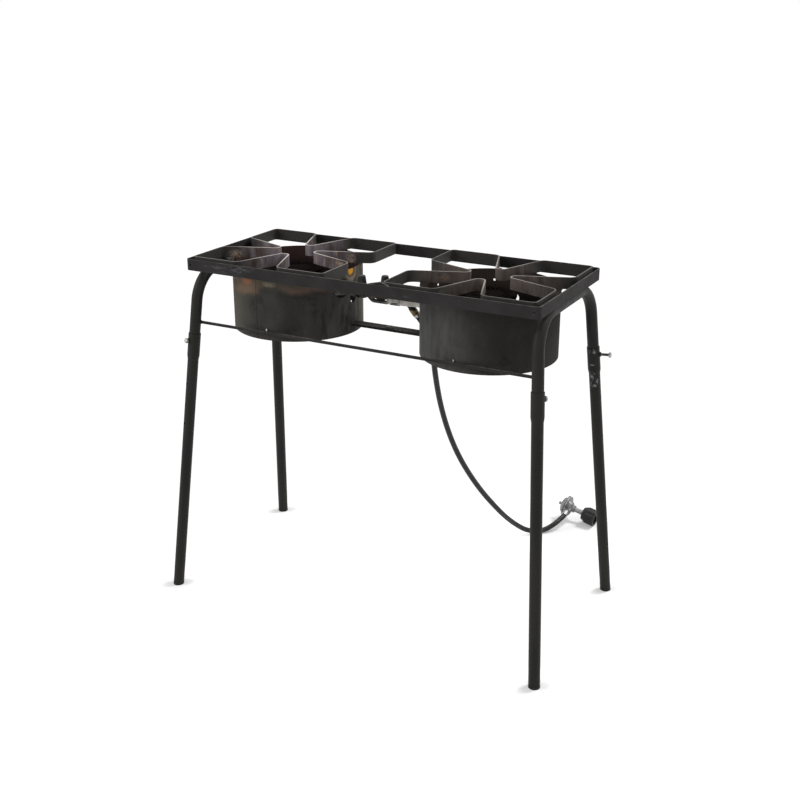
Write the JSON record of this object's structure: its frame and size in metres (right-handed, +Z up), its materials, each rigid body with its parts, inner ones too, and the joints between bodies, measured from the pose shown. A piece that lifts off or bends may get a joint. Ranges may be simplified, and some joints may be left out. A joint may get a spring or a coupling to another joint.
{
  "type": "two-burner propane stove",
  "caption": "Free-standing outdoor propane stove: strap grates in a flat-bar frame over round wind guards, on splayed tube legs, with twin valve, hose and regulator.",
  "frame": {"origin": "on the floor under the middle of the top frame", "axes": "+X along the frame to the right burner, +Y away from the cook, +Z up"},
  "size_m": [0.9678, 0.8302, 0.8188],
  "materials": {
    "frame_paint": "matte black paint, worn",
    "grate_steel": "heat-tinted bare steel strap",
    "guard_paint": "sooted matte black sheet",
    "leg_paint": "matte black paint",
    "foot_plastic": "black moulded plug",
    "bolt_zinc": "zinc plated",
    "burner_iron": "sooted casting",
    "tube_grey": "pale grey paint",
    "shutter_steel": "dull plated sheet",
    "valve_brass": "tarnished brass",
    "knob_plastic": "black moulded knob",
    "hose_rubber": "black gas hose",
    "fitting_dark": "blackened steel",
    "fitting_brass": "bright brass",
    "regulator_metal": "silver die casting",
    "diaphragm_rubber": "rubber sheet",
    "nut_plastic": "black moulded hand nut"
  },
  "bodies": {
    "stove": {"top_frame": "frame_paint", "grate_left": "grate_steel", "grate_right": "grate_steel", "grate_tabs": "grate_steel", "corner_tie": "frame_paint", "wind_guard_left": "guard_paint", "wind_guard_right": "guard_paint", "leg_hoop_left": "leg_paint", "leg_hoop_right": "leg_paint", "front_rod": "frame_paint", "burner_bar": "frame_paint", "bar_rivet": "frame_paint", "burner_bowl_left": "burner_iron", "burner_bowl_right": "burner_iron", "burner_lid_left": "burner_iron", "burner_lid_right": "burner_iron", "burner_post_left": "burner_iron", "burner_post_right": "burner_iron", "burner_studs": "bolt_zinc", "stud_nuts": "bolt_zinc", "mixing_tube_left": "tube_grey", "mixing_tube_right": "tube_grey", "valve_body": "valve_brass", "jet_left": "fitting_brass", "jet_right": "fitting_brass", "inlet_nipple": "valve_brass", "inlet_elbow": "fitting_dark", "hose_nut": "fitting_brass", "hose_ferrule_upper": "regulator_metal", "hose": "hose_rubber", "hose_ferrule_lower": "regulator_metal", "regulator_body": "regulator_metal", "regulator_cover": "regulator_metal", "regulator_diaphragm": "diaphragm_rubber", "regulator_screws": "bolt_zinc", "regulator_stem": "fitting_brass"},
    "cylinder_nut": {"cylinder_nut": "nut_plastic"},
    "knob_left": {"knob_left": "knob_plastic", "valve_stem_left": "fitting_brass"},
    "air_shutter_left": {"air_shutter_left": "shutter_steel"},
    "knob_right": {"knob_right": "knob_plastic", "valve_stem_right": "fitting_brass"},
    "air_shutter_right": {"air_shutter_right": "shutter_steel"},
    "leg_lf": {"lower_leg_lf": "leg_paint", "foot_plug_lf": "foot_plastic"},
    "bolt_lf": {"leg_bolt_lf": "bolt_zinc"},
    "leg_rf": {"lower_leg_rf": "leg_paint", "foot_plug_rf": "foot_plastic"},
    "bolt_rf": {"leg_bolt_rf": "bolt_zinc"},
    "leg_lb": {"lower_leg_lb": "leg_paint", "foot_plug_lb": "foot_plastic"},
    "bolt_lb": {"leg_bolt_lb": "bolt_zinc"},
    "leg_rb": {"lower_leg_rb": "leg_paint", "foot_plug_rb": "foot_plastic"},
    "bolt_rb": {"leg_bolt_rb": "bolt_zinc"}
  },
  "joints": [
    {"name": "knob_left_turn", "type": "hinge", "parent": "stove", "child": "knob_left", "pos_m": [-0.0199, -0.09, 0.79225], "axis": [0, 0, 1], "range_deg": [0, 270]},
    {"name": "air_shutter_left_turn", "type": "hinge", "parent": "stove", "child": "air_shutter_left", "pos_m": [-0.03957, -0.06153, 0.76068], "axis": [0.9498, -0.2866, 0.1252], "range_deg": [0, 45]},
    {"name": "knob_right_turn", "type": "hinge", "parent": "stove", "child": "knob_right", "pos_m": [0.0367, -0.09, 0.79825], "axis": [0, 0, 1], "range_deg": [0, 270]},
    {"name": "air_shutter_right_turn", "type": "hinge", "parent": "stove", "child": "air_shutter_right", "pos_m": [0.04769, -0.0633, 0.75462], "axis": [0.9467, 0.306, -0.1007], "range_deg": [0, 45]},
    {"name": "leg_lf_slide", "type": "slide", "parent": "stove", "child": "leg_lf", "axis": [-0.0727, -0.105, -0.9918], "range_m": [0, 0.03]},
    {"name": "bolt_lf_travel", "type": "slide", "parent": "leg_lf", "child": "bolt_lf", "axis": [-0.4168, -0.9003, 0.1258], "range_m": [0, 0.0035]},
    {"name": "leg_rf_slide", "type": "slide", "parent": "stove", "child": "leg_rf", "axis": [0.0727, -0.105, -0.9918], "range_m": [0, 0.03]},
    {"name": "bolt_rf_travel", "type": "slide", "parent": "leg_rf", "child": "bolt_rf", "axis": [0.4282, 0.9014, -0.064], "range_m": [0, 0.0035]},
    {"name": "leg_lb_slide", "type": "slide", "parent": "stove", "child": "leg_lb", "axis": [-0.0727, 0.105, -0.9918], "range_m": [0, 0.03]},
    {"name": "bolt_lb_travel", "type": "slide", "parent": "leg_lb", "child": "bolt_lb", "axis": [-0.9968, -0.0422, 0.0686], "range_m": [0, 0.0035]},
    {"name": "leg_rb_slide", "type": "slide", "parent": "stove", "child": "leg_rb", "axis": [0.0727, 0.105, -0.9918], "range_m": [0, 0.03]},
    {"name": "bolt_rb_travel", "type": "slide", "parent": "leg_rb", "child": "bolt_rb", "axis": [0.9968, 0.027, 0.0759], "range_m": [0, 0.0035]},
    {"name": "cylinder_nut_turn", "type": "hinge", "parent": "stove", "child": "cylinder_nut", "pos_m": [0.31867, 0.5492, 0.02573], "axis": [0.9779, -0.0856, -0.1908], "continuous": true}
  ]
}
